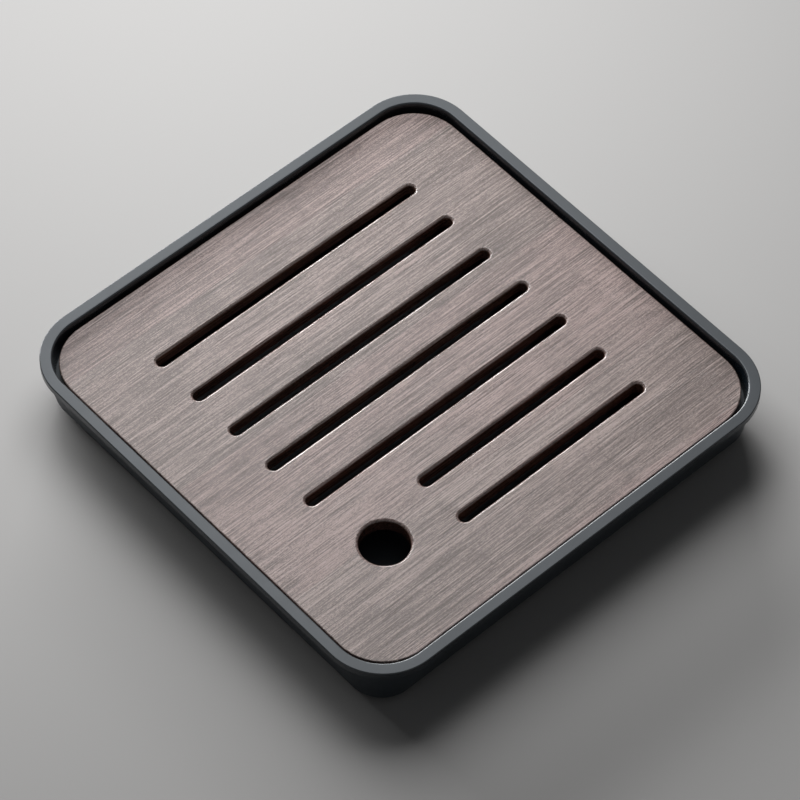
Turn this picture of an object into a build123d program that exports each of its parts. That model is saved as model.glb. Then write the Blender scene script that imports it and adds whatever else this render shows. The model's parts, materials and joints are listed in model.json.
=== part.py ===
"""Square tea tray: a moulded basin, a slotted bamboo board that lifts out, and four soft feet.

The origin is on the table, under the middle of the tray. +Z is up, and the slots run along X.
"""
import os

from build123d import *

# Outer form of the basin, in mm
tray_side = 200.0          # square, over the rim
tray_height = 26.0         # table to the top of the rim
corner_radius = 24.0       # corner of the rim, in plan
rim_width = 4.6            # top of the rim, from its outer edge to the mouth
rim_lip = 2.8              # height of the rim's outer edge
lip_overhang = 1.5         # rim beyond the wall under it
rim_outer_round = 0.4
rim_inner_round = 0.8
wall_foot_inset = 6.8      # foot of the drafted wall, in from the rim's outer edge
wall_foot_radius = 12.5    # corner of the wall at its foot, in plan
base_edge_round = 3.5
foot_gap = 1.4             # table to the underside of the basin

# Inside of the basin
recess_draft = 1.0         # how much the recess narrows from the rim down to the ledge, each side
ledge_width = 2.8          # shelf that carries the board
ledge_round = 0.6
well_draft = 2.6           # how much the well narrows from the ledge to the floor, each side
floor_thickness = 3.0
floor_round = 3.0

# Underside of the basin
base_ring_width = 9.0      # flat ring that is left round the sunk middle of the base
base_sink = 0.8            # depth of the sunk middle

# Board
board_gap = 1.5            # rim to board, each side, at the top of the recess
board_drop = 3.0           # rim top to board top
board_thickness = 6.0
board_radius = 20.0
board_top_round = 0.5
board_bottom_round = 0.5
slot_count = 7
slot_pitch = 20.7
slot_width = 4.5
slot_length = 125.8
short_slot_count = 2       # these end early, to leave room for the finger hole
slot_top_round = 1.25
slot_bottom_round = 0.4
finger_hole_diameter = 18.9
hole_to_slot = 17.3        # land between the finger hole and the short slots

# Feet
foot_diameter = 16.0
foot_seat_depth = 0.6      # seat of a foot, up from the sunk middle
foot_round = 0.5
foot_clearance = 0.2       # round a foot in its seat
foot_inset = 27.0          # centre of a foot, in from the rim's outer edge

# Heights
lip_z = tray_height - rim_lip
board_top_z = tray_height - board_drop
ledge_z = board_top_z - board_thickness
floor_z = foot_gap + floor_thickness
sunk_z = foot_gap + base_sink

# Plan sizes of the basin
wall_side = tray_side - 2 * lip_overhang
wall_radius = corner_radius - lip_overhang
wall_foot_side = tray_side - 2 * wall_foot_inset
mouth_side = tray_side - 2 * rim_width
mouth_radius = corner_radius - rim_width
recess_side = mouth_side - 2 * recess_draft
recess_radius = mouth_radius - recess_draft
well_side = recess_side - 2 * ledge_width
well_radius = recess_radius - ledge_width
floor_side = well_side - 2 * well_draft
floor_radius = well_radius - well_draft
sunk_side = wall_foot_side - 2 * base_ring_width
sunk_radius = wall_foot_radius - base_ring_width

# Plan sizes of the board
board_side = mouth_side - 2 * board_gap
slot_right = slot_length / 2
last_slot = slot_count - 1
long_slot_count = slot_count - short_slot_count
long_slot_y = slot_pitch * (last_slot - (long_slot_count - 1)) / 2
short_slot_length = slot_length - finger_hole_diameter - hole_to_slot
short_slot_x = slot_right - short_slot_length / 2
short_slot_y = -slot_pitch * (last_slot - (short_slot_count - 1)) / 2
finger_hole_x = finger_hole_diameter / 2 - slot_right

foot_place = tray_side / 2 - foot_inset
foot_thickness = sunk_z + foot_seat_depth

os.makedirs("parts", exist_ok=True)


# Basin: drafted wall and overhanging rim, a recess and ledge for the board, a well for the water
with BuildPart() as basin:
    with BuildSketch(Plane.XY.offset(foot_gap)):
        RectangleRounded(wall_foot_side, wall_foot_side, wall_foot_radius)
    with BuildSketch(Plane.XY.offset(lip_z)):
        RectangleRounded(wall_side, wall_side, wall_radius)
    loft(ruled=True)
    fillet(basin.faces().sort_by(Axis.Z)[0].edges(), base_edge_round)

    with BuildSketch(Plane.XY.offset(lip_z)):
        RectangleRounded(tray_side, tray_side, corner_radius)
    extrude(amount=rim_lip)

    with BuildSketch(Plane.XY.offset(ledge_z)):
        RectangleRounded(recess_side, recess_side, recess_radius)
    with BuildSketch(Plane.XY.offset(tray_height)):
        RectangleRounded(mouth_side, mouth_side, mouth_radius)
    loft(ruled=True, mode=Mode.SUBTRACT)

    with BuildSketch(Plane.XY.offset(floor_z)):
        RectangleRounded(floor_side, floor_side, floor_radius)
    with BuildSketch(Plane.XY.offset(ledge_z)):
        RectangleRounded(well_side, well_side, well_radius)
    loft(ruled=True, mode=Mode.SUBTRACT)

    rim_top = basin.faces().sort_by(Axis.Z)[-1]
    fillet(rim_top.outer_wire().edges(), rim_outer_round)
    rim_top = basin.faces().sort_by(Axis.Z)[-1]
    fillet(rim_top.inner_wires()[0].edges(), rim_inner_round)
    flats = basin.faces().filter_by(GeomType.PLANE).filter_by(Axis.Z)
    ledge = flats.filter_by_position(Axis.Z, ledge_z, ledge_z)[0]
    fillet(ledge.inner_wires()[0].edges(), ledge_round)
    well_floor = basin.faces().filter_by(GeomType.PLANE).filter_by_position(Axis.Z, floor_z, floor_z)[0]
    fillet(well_floor.edges(), floor_round)

    with BuildSketch(Plane.XY.offset(foot_gap)):
        RectangleRounded(sunk_side, sunk_side, sunk_radius)
    extrude(amount=base_sink, mode=Mode.SUBTRACT)
    with BuildSketch(Plane.XY.offset(foot_gap)):
        with GridLocations(2 * foot_place, 2 * foot_place, 2, 2):
            Circle(foot_diameter / 2 + foot_clearance)
    extrude(amount=foot_thickness - foot_gap, mode=Mode.SUBTRACT)
basin.part.label = "basin"
export_step(basin.part, "parts/basin.step")


# Board: one thick plank with its edges eased, slots to drain through and a hole to lift it by
with BuildPart() as board:
    with BuildSketch(Plane.XY.offset(ledge_z)):
        RectangleRounded(board_side, board_side, board_radius)
        with Locations((0, long_slot_y)):
            with GridLocations(0, slot_pitch, 1, long_slot_count):
                SlotOverall(slot_length, slot_width, mode=Mode.SUBTRACT)
        with Locations((short_slot_x, short_slot_y)):
            with GridLocations(0, slot_pitch, 1, short_slot_count):
                SlotOverall(short_slot_length, slot_width, mode=Mode.SUBTRACT)
        with Locations((finger_hole_x, short_slot_y)):
            Circle(finger_hole_diameter / 2, mode=Mode.SUBTRACT)
    extrude(amount=board_thickness)
    top = board.faces().sort_by(Axis.Z)[-1]
    fillet(top.outer_wire().edges(), board_top_round)
    bottom = board.faces().sort_by(Axis.Z)[0]
    fillet(bottom.outer_wire().edges(), board_bottom_round)
    top = board.faces().sort_by(Axis.Z)[-1]
    fillet([e for w in top.inner_wires() for e in w.edges()], slot_top_round)
    bottom = board.faces().sort_by(Axis.Z)[0]
    fillet([e for w in bottom.inner_wires() for e in w.edges()], slot_bottom_round)
board.part.label = "slotted_board"
export_step(board.part, "parts/slotted_board.step")


# Feet: four soft discs, each in its own round seat under the basin
foot_names = ["foot_back_left", "foot_back_right", "foot_front_left", "foot_front_right"]
foot_sides = [(-1, 1), (1, 1), (-1, -1), (1, -1)]
for foot_name, (side_x, side_y) in zip(foot_names, foot_sides):
    with BuildPart() as foot:
        with BuildSketch():
            with Locations((side_x * foot_place, side_y * foot_place)):
                Circle(foot_diameter / 2)
        extrude(amount=foot_thickness)
        fillet(foot.faces().sort_by(Axis.Z)[0].edges(), foot_round)
    foot.part.label = foot_name
    export_step(foot.part, f"parts/{foot_name}.step")
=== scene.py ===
"""Square tea tray: the finishes of the moulded basin, the slotted bamboo board and the soft feet.

The file is laid out as an add-on, with one operator for each piece or group of like pieces and one
for the stage, and it is run as a script. All lengths are in metres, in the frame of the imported
model: the origin is on the table under the middle of the tray, +Z is up and the slots run along X.
"""
import json
import math

import bpy
from mathutils import Matrix, Vector

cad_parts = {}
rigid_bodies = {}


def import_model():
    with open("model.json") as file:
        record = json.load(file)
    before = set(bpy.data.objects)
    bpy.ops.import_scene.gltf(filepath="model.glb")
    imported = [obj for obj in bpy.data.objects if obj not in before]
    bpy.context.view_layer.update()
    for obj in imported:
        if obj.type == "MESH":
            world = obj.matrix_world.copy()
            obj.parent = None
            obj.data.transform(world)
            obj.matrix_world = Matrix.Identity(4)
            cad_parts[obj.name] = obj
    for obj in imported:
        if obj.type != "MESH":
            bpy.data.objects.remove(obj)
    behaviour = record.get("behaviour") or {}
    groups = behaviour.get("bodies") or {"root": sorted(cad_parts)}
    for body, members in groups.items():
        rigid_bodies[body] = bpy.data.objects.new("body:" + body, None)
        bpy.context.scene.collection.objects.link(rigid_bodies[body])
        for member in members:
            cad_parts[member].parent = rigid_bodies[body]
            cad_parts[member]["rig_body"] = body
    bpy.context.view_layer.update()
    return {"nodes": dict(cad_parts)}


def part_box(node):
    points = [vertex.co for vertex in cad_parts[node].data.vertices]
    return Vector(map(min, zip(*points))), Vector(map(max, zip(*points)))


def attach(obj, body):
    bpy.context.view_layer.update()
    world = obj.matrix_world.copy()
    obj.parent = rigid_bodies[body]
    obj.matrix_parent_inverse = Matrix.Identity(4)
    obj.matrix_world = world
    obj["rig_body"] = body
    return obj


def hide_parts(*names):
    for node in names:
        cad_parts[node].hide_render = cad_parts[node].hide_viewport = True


bl_info = {
    "name": "Square Tea Tray",
    "version": (1, 0, 0),
    "blender": (4, 5, 0),
    "location": "View3D > Sidebar > Tea Tray",
    "description": "Finishes a slotted tea tray and sets it on a plain lit stage",
    "category": "Object",
}

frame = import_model()

MM = 0.001
FEET = ("foot_back_left", "foot_back_right", "foot_front_left", "foot_front_right")
BASIN_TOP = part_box("basin")[1].z
BOARD_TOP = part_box("slotted_board")[1].z

# Meshes
WELD_DISTANCE = 0.002 * MM
SMOOTH_ANGLE = math.radians(35)
LARGE_FACES_LEAD = 100      # weight at which the large flat faces set the normals of their edges
FLOOR_CORNERS = 96

# The middle of a noise, and the part of its range that a pattern is stretched over
NOISE_MIDDLE = 0.5
WIDE_SWING = (0.25, 0.75)
NARROW_SWING = (0.3, 0.7)


class Recipe:
    """The node tree of one material, from the pattern on the left to the shader on the right."""

    def __init__(self, name):
        self.material = bpy.data.materials.new(name)
        self.material.use_nodes = True
        self.tree = self.material.node_tree
        self.shader = self.tree.nodes["Principled BSDF"]
        self.output = self.tree.nodes["Material Output"]
        self.coordinates = self.node("ShaderNodeTexCoord").outputs
        self.place = self.coordinates["Object"]

    def feed(self, socket, value):
        """Links an output to a socket, or sets the socket's own value."""
        if isinstance(value, bpy.types.NodeSocket):
            self.tree.links.new(value, socket)
        else:
            socket.default_value = value

    def node(self, kind, inputs=None, **settings):
        """Adds a node. inputs maps the name or number of a socket to what feeds it."""
        node = self.tree.nodes.new(kind)
        for name, value in settings.items():
            setattr(node, name, value)
        for socket, value in (inputs or {}).items():
            self.feed(node.inputs[socket], value)
        return node

    def math(self, operation, *values, clamp=False):
        """A Math node on one to three values."""
        inputs = dict(enumerate(values))
        return self.node("ShaderNodeMath", inputs, operation=operation, use_clamp=clamp).outputs[0]

    def plus(self, total, *others):
        """The sum of the values."""
        for value in others:
            total = self.math("ADD", total, value)
        return total

    def minus(self, total, *others):
        """The first value less the others."""
        for value in others:
            total = self.math("SUBTRACT", total, value)
        return total

    def times(self, first, second):
        """The product of two values."""
        return self.math("MULTIPLY", first, second)

    def vector_math(self, operation, first, second):
        """A Vector Math node on two vectors."""
        inputs = {0: first, 1: second}
        return self.node("ShaderNodeVectorMath", inputs, operation=operation).outputs[0]

    def axes(self, vector):
        """The X, Y and Z of a place or a direction."""
        return self.node("ShaderNodeSeparateXYZ", {0: vector}).outputs

    def joined(self, x, y, z):
        """One vector from three values."""
        return self.node("ShaderNodeCombineXYZ", {0: x, 1: y, 2: z}).outputs[0]

    def facing_up(self):
        """How far up a face looks: 1 is straight up, 0 is sideways and -1 is straight down."""
        return self.axes(self.coordinates["Normal"])["Z"]

    def noise(self, place, grain, shift=None, detail=2.0, rough=0.5):
        """A noise that swings round its middle. grain is its size in metres along each axis."""
        per_metre = tuple(1 / size for size in grain)
        scaled = self.vector_math("MULTIPLY", place, per_metre)
        if shift is not None:
            scaled = self.vector_math("ADD", scaled, shift)
        sockets = {"Vector": scaled, "Scale": 1.0, "Detail": detail, "Roughness": rough}
        return self.node("ShaderNodeTexNoise", sockets).outputs["Fac"]

    def even_noise(self, size, detail=2.0, rough=0.5):
        """A noise whose grain has one size along all three axes."""
        return self.noise(self.place, (size, size, size), detail=detail, rough=rough)

    def fibre_noise(self, place, length, width, shift=None, detail=2.0, rough=0.5):
        """A noise whose grain is drawn out along X, as bamboo is."""
        return self.noise(place, (length, width, width), shift, detail, rough)

    def fit(self, value, low, high, to_low=0.0, to_high=1.0, kind="LINEAR"):
        """A value brought from one range to another, with its ends held."""
        sockets = {
            "Value": value, "From Min": low, "From Max": high, "To Min": to_low, "To Max": to_high}
        return self.node("ShaderNodeMapRange", sockets, interpolation_type=kind).outputs[0]

    def ease(self, value, start, full, most=1.0):
        """A smooth rise from 0, where the value is at the start, to the most, where it is full."""
        return self.fit(value, start, full, 0.0, most, "SMOOTHSTEP")

    def swing(self, value, low, high, amount):
        """A value from low to high turned into a swing of an amount to both sides of 0."""
        return self.fit(value, low, high, -amount, amount)

    def ramp(self, value, stops):
        """A colour along a ramp of (place, colour) stops."""
        node = self.node("ShaderNodeValToRGB", {0: value})
        elements = node.color_ramp.elements
        while len(elements) < len(stops):
            elements.new(1.0)
        for element, (place, colour) in zip(elements, stops):
            element.position = place
            element.color = opaque(colour)
        return node.outputs[0]

    def mix(self, share, first, second, blend="MIX"):
        """Two colours mixed by a share from 0 to 1."""
        node = self.node("ShaderNodeMix", data_type="RGBA", blend_type=blend)
        for socket, value in (("Factor", share), ("A", first), ("B", second)):
            self.feed(node.inputs[socket], value)
        return node.outputs["Result"]

    def tinted(self, share, colour, tint):
        """A colour that takes on a tint by a share from 0 to 1."""
        return self.mix(share, colour, self.mix(1.0, colour, opaque(tint), "MULTIPLY"))

    def bump(self, height, depth, under=None):
        """A relief whose height of 0 to 1 stands for a real depth."""
        sockets = {"Height": height, "Distance": depth, "Strength": 1.0}
        if under is not None:
            sockets["Normal"] = under
        return self.node("ShaderNodeBump", sockets).outputs["Normal"]

    def finish(self, **sockets):
        """Feeds the shader's sockets and gives the material."""
        for name, value in sockets.items():
            self.feed(self.shader.inputs[name.replace("_", " ")], value)
        return self.material


def opaque(colour):
    """A colour with its alpha added."""
    return tuple(colour) + (1.0,)


def shaded(colour, share):
    """A colour made lighter or darker, with its alpha added."""
    return opaque(channel * share for channel in colour)


# Moulded plastic. Tones are shares of its colour. A pair of an edge says where an effect begins
# and where it is full, and a pair of a facing says so by how far up a face looks
PLASTIC_DARKEST, PLASTIC_PALEST, PLASTIC_FLECK = 0.86, 1.16, 1.9
FLECK_EDGE = (0.66, 0.74)
FLECK_COVER = 0.35
WORN_EDGE = (0.4, 0.6)
CLOUD_ROUGHNESS, GRAIN_ROUGHNESS, WORN_POLISH = 0.03, 0.02, 0.05
ROUNDED_FACING = (0.99, 0.9)
NOT_UNDER_FACING = (-0.15, 0.05)


def moulded_plastic(settings):
    """Black moulded plastic: a fine mould texture, clouds in its sheen and smoother, worn edges."""
    recipe = Recipe("moulded_plastic")
    grain = recipe.even_noise(settings.grain_size, rough=0.6)
    ripple = recipe.even_noise(settings.ripple_size)
    cloud = recipe.even_noise(settings.cloud_size, detail=3.0)
    fleck = recipe.even_noise(settings.fleck_size, detail=1.0)

    darkest, palest, dust = (
        shaded(settings.colour, share)
        for share in (PLASTIC_DARKEST, PLASTIC_PALEST, PLASTIC_FLECK))
    tone = recipe.mix(recipe.fit(cloud, *NARROW_SWING), darkest, palest)
    colour = recipe.mix(recipe.ease(fleck, *FLECK_EDGE, FLECK_COVER), tone, dust)

    # Hands polish patches of the rim
    height = recipe.axes(recipe.place)["Z"]
    near_rim = recipe.ease(height, BASIN_TOP - settings.worn_band, BASIN_TOP)
    worn = recipe.times(near_rim, recipe.ease(cloud, *WORN_EDGE))

    # The mould's texture is on the flat faces and the outer wall. The rounded edges and the
    # sides of the recess and the well are smoother
    facing = recipe.facing_up()
    smoother = recipe.times(
        recipe.ease(facing, *ROUNDED_FACING), recipe.ease(facing, *NOT_UNDER_FACING))

    rough = recipe.plus(recipe.swing(cloud, *NARROW_SWING, CLOUD_ROUGHNESS), settings.roughness)
    rough = recipe.minus(rough, recipe.times(worn, WORN_POLISH))
    rough = recipe.plus(rough, recipe.swing(grain, *NARROW_SWING, GRAIN_ROUGHNESS))
    rough = recipe.minus(rough, recipe.times(smoother, settings.edge_polish))

    relief = recipe.bump(ripple, settings.ripple_depth)
    relief = recipe.bump(grain, settings.grain_depth, relief)
    return recipe.finish(
        Base_Color=colour, Roughness=rough, Normal=relief, IOR=1.56, Specular_IOR_Level=0.5,
        Specular_Tint=(0.90, 0.95, 1.0, 1.0))


# Laminated bamboo. Where a strip's pattern starts, in grains, is drawn by chance up to a jump
STRIP_JUMP = 40.0
HALF_STRIP = 0.5

# Length and width of the grain of each pattern, as shares of a streak's or in metres
THREAD_LENGTH, THREAD_WIDTH = 0.4, 0.45
PORE_LENGTH, PORE_WIDTH = 0.3, 0.8          # the width is a share of a thread's
SPECKLE_LENGTH = 2                          # as a share of a thread's width
BAND_LENGTH, BAND_WIDTH = 3, 4
DRIFT_GRAIN = (90 * MM, 30 * MM)
CLOUD_GRAIN = (50 * MM, 24 * MM)
WAVE_GRAIN = (20 * MM, 6 * MM)
NODE_LINE_WIDTH = 0.14                      # as a share of the node's band

# How far each pattern moves the tone, which goes from 0, the darkest fibre, to 1, the palest
STREAK_TONES = (0.22, 0.78)
THREAD_TONE = 0.74
SPECKLE_TONE = 0.44
BAND_TONE = 0.09
CLOUD_TONE = 0.12
STRIP_TONE = 0.12
NODE_BAND_TONE, NODE_LINE_TONE = 0.12, 0.07
SEAM_TONE = 0.16
PORE_TONE = 0.34

# Where each effect begins and where it is full
PORE_EDGE = (0.60, 0.72)
WARMTH_EDGE = (0.8, 1.3)
STEEP_FACING = (0.6, 0.1)
EASED_FACING = (1.0, 0.985)

# Steps of roughness and shares of the relief
THREAD_ROUGHNESS, PORE_ROUGHNESS = 0.05, 0.3
STREAK_RELIEF, THREAD_RELIEF, SEAM_RELIEF = 0.6, 0.4, 0.3


def laminated_bamboo(settings):
    """Stained bamboo strips, glued: straight fibres, darker pores, faint nodes and glue lines."""
    recipe = Recipe("laminated_bamboo")
    place = recipe.place
    axes = recipe.axes(place)

    # Which strip and which of the glued layers a point is in
    across = recipe.plus(
        recipe.math("DIVIDE", axes["Y"], settings.strip_width), settings.strip_shift)
    strip = recipe.math("FLOOR", across)
    layer = recipe.math("FLOOR", recipe.math("DIVIDE", axes["Z"], settings.layer_height))

    # What is drawn by chance for each strip
    draw = recipe.node(
        "ShaderNodeTexWhiteNoise", {"Vector": recipe.joined(strip, layer, settings.seed)},
        noise_dimensions="3D").outputs
    chances = recipe.node("ShaderNodeSeparateColor", {0: draw["Color"]}).outputs
    start = recipe.vector_math("MULTIPLY", draw["Color"], (STRIP_JUMP, STRIP_JUMP, STRIP_JUMP))

    # Fibres wander a little along the strip, so their patterns are read from a slowly bent place
    drift = recipe.minus(recipe.fibre_noise(place, *DRIFT_GRAIN, start, detail=1.0), NOISE_MIDDLE)
    bend = recipe.times(drift, settings.fibre_wander)
    bent = recipe.joined(axes["X"], recipe.plus(axes["Y"], bend), recipe.plus(axes["Z"], bend))

    length, wide = settings.fibre_length, settings.fibre_width
    fine = wide * THREAD_WIDTH
    streaks = recipe.fibre_noise(bent, length, wide, start, detail=1.0, rough=0.6)
    threads = recipe.fibre_noise(bent, length * THREAD_LENGTH, fine, start, rough=0.65)
    bands = recipe.fibre_noise(bent, length * BAND_LENGTH, wide * BAND_WIDTH, start)
    pores = recipe.fibre_noise(bent, length * PORE_LENGTH, fine * PORE_WIDTH, start, detail=1.0)
    speckle = recipe.fibre_noise(place, fine * SPECKLE_LENGTH, fine, detail=1.0)
    clouds = recipe.fibre_noise(place, *CLOUD_GRAIN)

    # A node of the cane crosses each strip once or twice, as a faint crooked band
    spacing = settings.node_spacing
    wave = recipe.fibre_noise(place, *WAVE_GRAIN, start, detail=1.0)
    along = recipe.plus(
        axes["X"], recipe.times(chances["Green"], spacing), recipe.times(wave, settings.node_wave))
    from_node = recipe.math("ABSOLUTE", recipe.math("WRAP", along, spacing / 2, -spacing / 2))
    node_band = recipe.ease(from_node, settings.node_width, 0.0)
    node_line = recipe.ease(from_node, settings.node_width * NODE_LINE_WIDTH, 0.0)

    # The glue line runs half a strip from the strip's middle
    off_middle = recipe.math("ABSOLUTE", recipe.minus(recipe.math("FRACT", across), HALF_STRIP))
    seam_share = settings.seam_width / settings.strip_width
    seam_line = recipe.ease(off_middle, HALF_STRIP - seam_share, HALF_STRIP)

    pore_mark = recipe.ease(pores, *PORE_EDGE, PORE_TONE)
    tone = recipe.plus(
        recipe.fit(streaks, *WIDE_SWING, *STREAK_TONES),
        recipe.swing(threads, *WIDE_SWING, THREAD_TONE),
        recipe.swing(speckle, *WIDE_SWING, SPECKLE_TONE),
        recipe.swing(bands, *WIDE_SWING, BAND_TONE),
        recipe.swing(clouds, *NARROW_SWING, CLOUD_TONE),
        recipe.swing(draw["Value"], 0.0, 1.0, STRIP_TONE))
    tone = recipe.minus(
        tone,
        recipe.times(node_band, NODE_BAND_TONE),
        recipe.times(node_line, NODE_LINE_TONE),
        recipe.times(seam_line, SEAM_TONE))
    tone = recipe.math("SUBTRACT", tone, pore_mark, clamp=True)

    # Some strips are redder than others
    wood = recipe.ramp(
        tone, ((0.0, settings.dark), (0.5, settings.middle), (1.0, settings.pale)))
    warmth = recipe.ease(recipe.plus(chances["Blue"], clouds), *WARMTH_EDGE)
    colour = recipe.tinted(warmth, wood, settings.warm_tint)

    # The steep faces (the walls of the slots, of the hole and of the board's edge) are tinted
    # darker and redder than the top
    facing = recipe.facing_up()
    steep_share = recipe.ease(recipe.math("ABSOLUTE", facing), *STEEP_FACING)
    colour = recipe.tinted(steep_share, colour, settings.steep_face_tint)

    # Pale threads and the eased edges are smoother, pores are rougher
    eased = recipe.ease(facing, *EASED_FACING)
    rough = recipe.fit(
        threads, *WIDE_SWING,
        settings.roughness + THREAD_ROUGHNESS, settings.roughness - THREAD_ROUGHNESS)
    rough = recipe.plus(rough, recipe.times(pore_mark, PORE_ROUGHNESS))
    rough = recipe.minus(rough, recipe.times(eased, settings.edge_polish))

    height = recipe.plus(
        recipe.times(streaks, STREAK_RELIEF), recipe.times(threads, THREAD_RELIEF))
    height = recipe.minus(height, pore_mark, recipe.times(seam_line, SEAM_RELIEF))
    relief = recipe.bump(height, settings.fibre_depth)
    return recipe.finish(
        Base_Color=colour, Roughness=rough, Normal=relief, IOR=1.55, Specular_IOR_Level=0.5)


# Soft rubber
RUBBER_CLOUD = 24           # size of a cloud, in pits
RUBBER_DARKEST, RUBBER_PALEST = 0.8, 1.25
PIT_ROUGHNESS = 0.06


def soft_rubber(settings):
    """Dark soft rubber: a powdery surface with fine pits and a slow change of tone."""
    recipe = Recipe("soft_rubber")
    pits = recipe.even_noise(settings.pit_size, detail=3.0, rough=0.6)
    cloud = recipe.even_noise(settings.pit_size * RUBBER_CLOUD)
    darkest = shaded(settings.colour, RUBBER_DARKEST)
    palest = shaded(settings.colour, RUBBER_PALEST)
    colour = recipe.mix(recipe.fit(cloud, *NARROW_SWING), darkest, palest)
    rough = recipe.fit(
        pits, *NARROW_SWING, settings.roughness - PIT_ROUGHNESS, settings.roughness + PIT_ROUGHNESS)
    relief = recipe.bump(pits, settings.pit_depth)
    return recipe.finish(
        Base_Color=colour, Roughness=rough, Normal=relief, Sheen_Weight=0.15, Sheen_Roughness=0.5)


def pale_floor(settings):
    """A plain pale table that is clear from below, so that the tray's underside can be seen."""
    recipe = Recipe("pale_floor")
    recipe.finish(
        Base_Color=opaque(settings.floor_colour), Roughness=0.8, Specular_IOR_Level=0.2)
    below = recipe.node("ShaderNodeNewGeometry").outputs["Backfacing"]
    clear = recipe.node("ShaderNodeBsdfTransparent").outputs[0]
    sides = {0: below, 1: recipe.shader.outputs[0], 2: clear}
    both = recipe.node("ShaderNodeMixShader", sides).outputs[0]
    recipe.feed(recipe.output.inputs["Surface"], both)
    return recipe.material


def smooth_copy(node_name, piece_name):
    """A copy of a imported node, its triangles merged and its rounded edges shaded smooth."""
    piece = bpy.data.objects.new(piece_name, frame["nodes"][node_name].data.copy())
    bpy.context.scene.collection.objects.link(piece)
    bpy.ops.object.select_all(action="DESELECT")
    piece.select_set(True)
    bpy.context.view_layer.objects.active = piece
    bpy.ops.mesh.customdata_custom_splitnormals_clear()
    bpy.ops.object.mode_set(mode="EDIT")
    bpy.ops.mesh.select_all(action="SELECT")
    bpy.ops.mesh.remove_doubles(threshold=WELD_DISTANCE)
    bpy.ops.object.mode_set(mode="OBJECT")
    bpy.ops.object.shade_smooth_by_angle(angle=SMOOTH_ANGLE)
    evened = piece.modifiers.new("even_normals", "WEIGHTED_NORMAL")
    evened.keep_sharp = True
    evened.weight = LARGE_FACES_LEAD
    bpy.ops.object.modifier_apply(modifier=evened.name)
    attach(piece, frame["nodes"][node_name]["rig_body"])
    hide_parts(node_name)
    return piece


def dress(piece, material):
    """Gives a piece its material."""
    piece.data.materials.clear()
    piece.data.materials.append(material)


class PlasticFinish(bpy.types.PropertyGroup):
    """Finish of the moulded basin."""

    colour: bpy.props.FloatVectorProperty(
        name="Colour", description="Colour of the plastic",
        subtype="COLOR", size=3, default=(0.004, 0.007, 0.010), min=0.0, max=1.0)
    roughness: bpy.props.FloatProperty(
        name="Roughness", description="Roughness of the satin surface",
        default=0.52, subtype="FACTOR")
    edge_polish: bpy.props.FloatProperty(
        name="Edge polish", description="How much smoother the rounded edges and the inside are",
        default=0.27, subtype="FACTOR")
    grain_size: bpy.props.FloatProperty(
        name="Grain size", description="Size of a grain of the texture",
        default=0.35 * MM, unit="LENGTH")
    grain_depth: bpy.props.FloatProperty(
        name="Grain depth", description="Depth of the texture",
        default=0.010 * MM, unit="LENGTH")
    ripple_size: bpy.props.FloatProperty(
        name="Ripple size", description="Length of the slow unevenness",
        default=6 * MM, unit="LENGTH")
    ripple_depth: bpy.props.FloatProperty(
        name="Ripple depth", description="Depth of the slow unevenness",
        default=0.02 * MM, unit="LENGTH")
    cloud_size: bpy.props.FloatProperty(
        name="Cloud size", description="Size of the patches where the sheen changes",
        default=22 * MM, unit="LENGTH")
    fleck_size: bpy.props.FloatProperty(
        name="Fleck size", description="Size of the palest flecks",
        default=0.5 * MM, unit="LENGTH")
    worn_band: bpy.props.FloatProperty(
        name="Worn band", description="Height below the rim that hands polish",
        default=2 * MM, unit="LENGTH")


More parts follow.
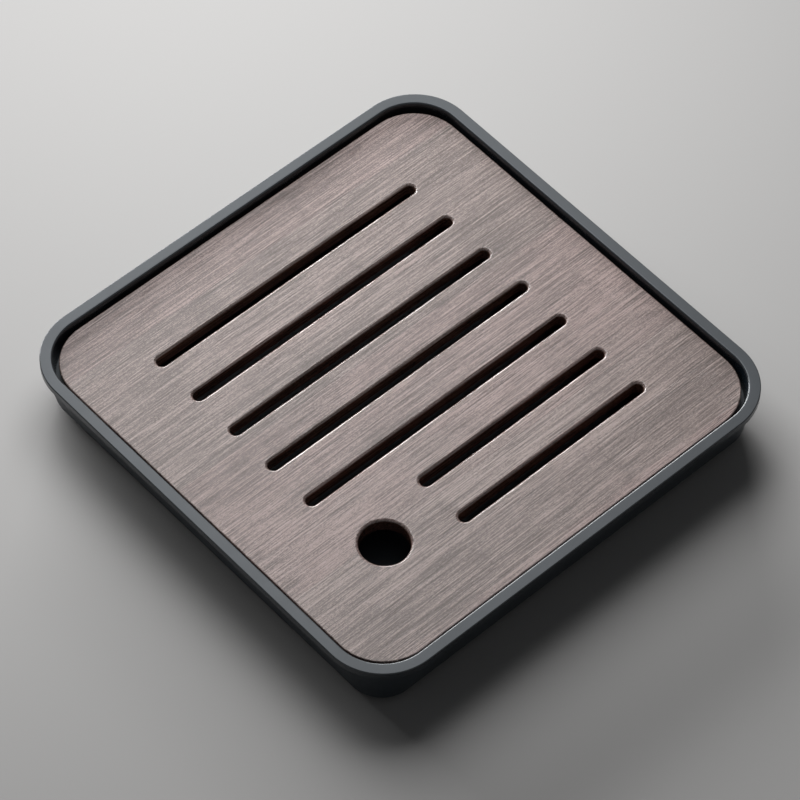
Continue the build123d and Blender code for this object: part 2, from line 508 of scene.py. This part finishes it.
class BambooFinish(bpy.types.PropertyGroup):
    """Finish of the laminated board."""

    dark: bpy.props.FloatVectorProperty(
        name="Dark", description="Darkest fibres",
        subtype="COLOR", size=3, default=(0.058, 0.039, 0.032), min=0.0, max=1.0)
    middle: bpy.props.FloatVectorProperty(
        name="Middle", description="Most of the board",
        subtype="COLOR", size=3, default=(0.158, 0.1140, 0.1032), min=0.0, max=1.0)
    pale: bpy.props.FloatVectorProperty(
        name="Pale", description="Palest fibres",
        subtype="COLOR", size=3, default=(0.318, 0.248, 0.227), min=0.0, max=1.0)
    warm_tint: bpy.props.FloatVectorProperty(
        name="Warm tint", description="Tint of the redder strips",
        subtype="COLOR", size=3, default=(1.0, 0.935, 0.945), min=0.0, max=1.0)
    steep_face_tint: bpy.props.FloatVectorProperty(
        name="Steep face tint", description="Tint of the walls of the slots and the hole",
        subtype="COLOR", size=3, default=(0.62, 0.46, 0.38), min=0.0, max=1.0)
    roughness: bpy.props.FloatProperty(
        name="Roughness", description="Roughness of the oiled surface",
        default=0.44, subtype="FACTOR")
    edge_polish: bpy.props.FloatProperty(
        name="Edge polish", description="How much smoother the eased edges are",
        default=0.37, subtype="FACTOR")
    strip_width: bpy.props.FloatProperty(
        name="Strip width", description="Width of one glued strip",
        default=20.8 * MM, unit="LENGTH")
    strip_shift: bpy.props.FloatProperty(
        name="Strip shift", description="Place of the first seam, in strips", default=0.35)
    layer_height: bpy.props.FloatProperty(
        name="Layer height", description="Height of one glued layer",
        default=5.75 * MM, unit="LENGTH")
    seam_width: bpy.props.FloatProperty(
        name="Seam width", description="Width of a glue line",
        default=0.2 * MM, unit="LENGTH")
    seed: bpy.props.FloatProperty(name="Seed", description="Picks the strips", default=3.0)
    fibre_width: bpy.props.FloatProperty(
        name="Fibre width", description="Width of one streak",
        default=0.65 * MM, unit="LENGTH")
    fibre_length: bpy.props.FloatProperty(
        name="Fibre length", description="Length of one streak",
        default=45 * MM, unit="LENGTH")
    fibre_wander: bpy.props.FloatProperty(
        name="Fibre wander", description="How far a fibre wanders sideways",
        default=0.25 * MM, unit="LENGTH")
    fibre_depth: bpy.props.FloatProperty(
        name="Fibre depth", description="Depth of the brushed relief",
        default=0.10 * MM, unit="LENGTH")
    node_spacing: bpy.props.FloatProperty(
        name="Node spacing", description="Distance between the nodes of one strip",
        default=170 * MM, unit="LENGTH")
    node_width: bpy.props.FloatProperty(
        name="Node width", description="Half the width of a node's band",
        default=4 * MM, unit="LENGTH")
    node_wave: bpy.props.FloatProperty(
        name="Node wave", description="How far a node's line wanders",
        default=7 * MM, unit="LENGTH")


class RubberFinish(bpy.types.PropertyGroup):
    """Finish of the feet."""

    colour: bpy.props.FloatVectorProperty(
        name="Colour", description="Colour of the rubber",
        subtype="COLOR", size=3, default=(0.030, 0.030, 0.031), min=0.0, max=1.0)
    roughness: bpy.props.FloatProperty(
        name="Roughness", description="Roughness of the rubber",
        default=0.75, subtype="FACTOR")
    pit_size: bpy.props.FloatProperty(
        name="Pit size", description="Size of the fine pits",
        default=0.3 * MM, unit="LENGTH")
    pit_depth: bpy.props.FloatProperty(
        name="Pit depth", description="Depth of the fine pits",
        default=0.03 * MM, unit="LENGTH")


class StageSettings(bpy.types.PropertyGroup):
    """The floor, the lamps and the camera."""

    floor_colour: bpy.props.FloatVectorProperty(
        name="Floor", description="Colour of the floor",
        subtype="COLOR", size=3, default=(0.46, 0.455, 0.45), min=0.0, max=1.0)
    floor_radius: bpy.props.FloatProperty(
        name="Floor radius", description="Radius of the floor",
        default=4.0, unit="LENGTH")
    sky_colour: bpy.props.FloatVectorProperty(
        name="Sky", description="Colour of the light from all around",
        subtype="COLOR", size=3, default=(0.95, 0.97, 1.0), min=0.0, max=1.0)
    sky_strength: bpy.props.FloatProperty(
        name="Sky strength", description="Strength of the light from all around", default=0.05)
    key_direction: bpy.props.FloatVectorProperty(
        name="Key direction", description="Where the main lamp stands, seen from the tray",
        subtype="DIRECTION", size=3, default=(0.24, 0.46, 0.85))
    key_distance: bpy.props.FloatProperty(
        name="Key distance", description="Tray to the main lamp",
        default=0.475, unit="LENGTH")
    key_angle: bpy.props.FloatProperty(
        name="Key angle", description="How wide the main lamp looks from the tray",
        default=math.radians(40), subtype="ANGLE")
    key_radiance: bpy.props.FloatProperty(
        name="Key radiance",
        description="Brightness of the main lamp's face, where white paper is 1", default=4.7)
    low_direction: bpy.props.FloatVectorProperty(
        name="Low lamp direction", description="Where the low lamp stands, seen from the tray",
        subtype="DIRECTION", size=3, default=(0.28, 0.91, 0.27))
    low_distance: bpy.props.FloatProperty(
        name="Low lamp distance", description="Tray to the low lamp",
        default=1.5, unit="LENGTH")
    low_width: bpy.props.FloatProperty(
        name="Low lamp width", description="How wide the low lamp looks from the tray",
        default=math.radians(56), subtype="ANGLE")
    low_height: bpy.props.FloatProperty(
        name="Low lamp height", description="How tall the low lamp looks from the tray",
        default=math.radians(14), subtype="ANGLE")
    low_radiance: bpy.props.FloatProperty(
        name="Low lamp radiance", description="Brightness of the low lamp's face", default=21.0)
    camera_azimuth: bpy.props.FloatProperty(
        name="Azimuth", description="Turn of the camera round the tray",
        default=math.radians(-42.46306), subtype="ANGLE")
    camera_elevation: bpy.props.FloatProperty(
        name="Elevation", description="Height of the camera above the horizon",
        default=math.radians(53.78652), subtype="ANGLE")
    camera_roll: bpy.props.FloatProperty(
        name="Roll", description="Tilt of the picture",
        default=math.radians(0.71871), subtype="ANGLE")
    camera_distance: bpy.props.FloatProperty(
        name="Distance", description="Camera to the middle of the board",
        default=1534.236 * MM, unit="LENGTH")
    camera_offset: bpy.props.FloatVectorProperty(
        name="Offset",
        description="Camera's step right and up from the line through the board's middle",
        size=2, default=(0.1666 * MM, -9.3903 * MM), unit="LENGTH")
    camera_lens: bpy.props.FloatProperty(
        name="Lens", description="Focal length in millimetres", default=189.451)
    camera_sensor: bpy.props.FloatProperty(
        name="Sensor", description="Width of the sensor in millimetres", default=36.0)


def add_floor(settings):
    """A wide pale disc at the height of the table."""
    bpy.ops.object.select_all(action="DESELECT")
    bpy.ops.mesh.primitive_circle_add(
        vertices=FLOOR_CORNERS, radius=settings.floor_radius, fill_type="NGON")
    floor = bpy.context.active_object
    floor.name = "floor"
    floor.data.materials.append(pale_floor(settings))


def add_lamp(name, direction, distance, angles, radiance):
    """A soft lamp aimed at the tray, sized and powered by how wide, tall and bright it looks."""
    wide, tall = (2 * distance * math.tan(angle / 2) for angle in angles)
    lamp = bpy.data.lights.new(name, "AREA")
    lamp.shape = "RECTANGLE"
    lamp.size = wide
    lamp.size_y = tall
    lamp.energy = radiance * math.pi * wide * tall
    holder = bpy.data.objects.new(name, lamp)
    bpy.context.scene.collection.objects.link(holder)
    place = Vector(direction).normalized() * distance
    turned = (-place).to_track_quat("-Z", "Y").to_matrix().to_4x4()
    holder.matrix_world = Matrix.Translation(place) @ turned
    holder.visible_camera = False


def add_sky(settings):
    """Even light from all around, with the floor's own paleness beyond the floor's edge."""
    world = bpy.data.worlds.new("sky")
    bpy.context.scene.world = world
    world.use_nodes = True
    tree = world.node_tree
    light = tree.nodes["Background"]
    light.inputs["Color"].default_value = opaque(settings.sky_colour)
    light.inputs["Strength"].default_value = settings.sky_strength
    shown = tree.nodes.new("ShaderNodeBackground")
    shown.inputs["Color"].default_value = opaque(settings.floor_colour)
    shown.inputs["Strength"].default_value = 1.0
    path = tree.nodes.new("ShaderNodeLightPath")
    either = tree.nodes.new("ShaderNodeMixShader")
    seen = path.outputs["Is Camera Ray"]
    for ray in ("Is Glossy Ray", "Is Transmission Ray"):
        larger = tree.nodes.new("ShaderNodeMath")
        larger.operation = "MAXIMUM"
        tree.links.new(seen, larger.inputs[0])
        tree.links.new(path.outputs[ray], larger.inputs[1])
        seen = larger.outputs[0]
    tree.links.new(seen, either.inputs[0])
    tree.links.new(light.outputs[0], either.inputs[1])
    tree.links.new(shown.outputs[0], either.inputs[2])
    tree.links.new(either.outputs[0], tree.nodes["World Output"].inputs["Surface"])


def add_camera(settings):
    """The camera at the photograph's own angle, distance and focal length."""
    turn, rise, roll = settings.camera_azimuth, settings.camera_elevation, settings.camera_roll
    back = Vector((
        math.sin(turn) * math.cos(rise), -math.cos(turn) * math.cos(rise), math.sin(rise)))
    level_right = Vector((math.cos(turn), math.sin(turn), 0))
    level_up = back.cross(level_right)
    right = math.cos(roll) * level_right + math.sin(roll) * level_up
    up = math.cos(roll) * level_up - math.sin(roll) * level_right
    board_middle = Vector((0, 0, BOARD_TOP))
    step_right, step_up = settings.camera_offset
    place = board_middle + step_right * right + step_up * up + settings.camera_distance * back
    camera = bpy.data.cameras.new("camera")
    camera.lens = settings.camera_lens
    camera.sensor_width = settings.camera_sensor
    holder = bpy.data.objects.new("camera", camera)
    bpy.context.scene.collection.objects.link(holder)
    turned = Matrix((right, up, back)).transposed().to_4x4()
    holder.matrix_world = Matrix.Translation(place) @ turned
    bpy.context.scene.camera = holder


class TEATRAY_OT_basin(bpy.types.Operator):
    """Make the moulded basin with its satin black finish"""

    bl_idname = "tea_tray.basin"
    bl_label = "Basin"

    def execute(self, context):
        piece = smooth_copy("basin", "moulded_basin")
        dress(piece, moulded_plastic(context.scene.tea_tray_plastic))
        return {"FINISHED"}


class TEATRAY_OT_board(bpy.types.Operator):
    """Make the slotted board of laminated bamboo"""

    bl_idname = "tea_tray.board"
    bl_label = "Board"

    def execute(self, context):
        piece = smooth_copy("slotted_board", "bamboo_board")
        dress(piece, laminated_bamboo(context.scene.tea_tray_bamboo))
        return {"FINISHED"}


class TEATRAY_OT_feet(bpy.types.Operator):
    """Make the four soft feet"""

    bl_idname = "tea_tray.feet"
    bl_label = "Feet"

    def execute(self, context):
        rubber = soft_rubber(context.scene.tea_tray_rubber)
        for foot in FEET:
            dress(smooth_copy(foot, f"{foot}_pad"), rubber)
        return {"FINISHED"}


class TEATRAY_OT_stage(bpy.types.Operator):
    """Set the floor, the lamps and the camera"""

    bl_idname = "tea_tray.stage"
    bl_label = "Stage"

    def execute(self, context):
        settings = context.scene.tea_tray_stage
        add_floor(settings)
        add_lamp(
            "key_lamp", settings.key_direction, settings.key_distance,
            (settings.key_angle, settings.key_angle), settings.key_radiance)
        add_lamp(
            "low_lamp", settings.low_direction, settings.low_distance,
            (settings.low_width, settings.low_height), settings.low_radiance)
        add_sky(settings)
        add_camera(settings)
        context.scene.view_settings.view_transform = "Standard"
        return {"FINISHED"}


class TEATRAY_PT_panel(bpy.types.Panel):
    """Lists the steps that make the tray and the settings of its finishes and stage."""

    bl_idname = "TEATRAY_PT_panel"
    bl_label = "Tea Tray"
    bl_space_type = "VIEW_3D"
    bl_region_type = "UI"
    bl_category = "Tea Tray"

    def draw(self, context):
        for operator in STEPS:
            self.layout.operator(operator.bl_idname)
        for _, holder in SETTINGS:
            box = self.layout.box()
            group = getattr(context.scene, holder)
            for name in group.bl_rna.properties.keys():
                if name not in ("name", "rna_type"):
                    box.prop(group, name)


STEPS = (TEATRAY_OT_basin, TEATRAY_OT_board, TEATRAY_OT_feet, TEATRAY_OT_stage)
SETTINGS = (
    (PlasticFinish, "tea_tray_plastic"),
    (BambooFinish, "tea_tray_bamboo"),
    (RubberFinish, "tea_tray_rubber"),
    (StageSettings, "tea_tray_stage"),
)


def register():
    for group, holder in SETTINGS:
        bpy.utils.register_class(group)
        setattr(bpy.types.Scene, holder, bpy.props.PointerProperty(type=group))
    for operator in STEPS:
        bpy.utils.register_class(operator)
    bpy.utils.register_class(TEATRAY_PT_panel)


def unregister():
    bpy.utils.unregister_class(TEATRAY_PT_panel)
    for operator in reversed(STEPS):
        bpy.utils.unregister_class(operator)
    for group, holder in reversed(SETTINGS):
        delattr(bpy.types.Scene, holder)
        bpy.utils.unregister_class(group)


def main():
    """Makes the pieces and the stage in order."""
    register()
    bpy.ops.tea_tray.basin()
    bpy.ops.tea_tray.board()
    bpy.ops.tea_tray.feet()
    bpy.ops.tea_tray.stage()


if __name__ == "__main__":
    main()
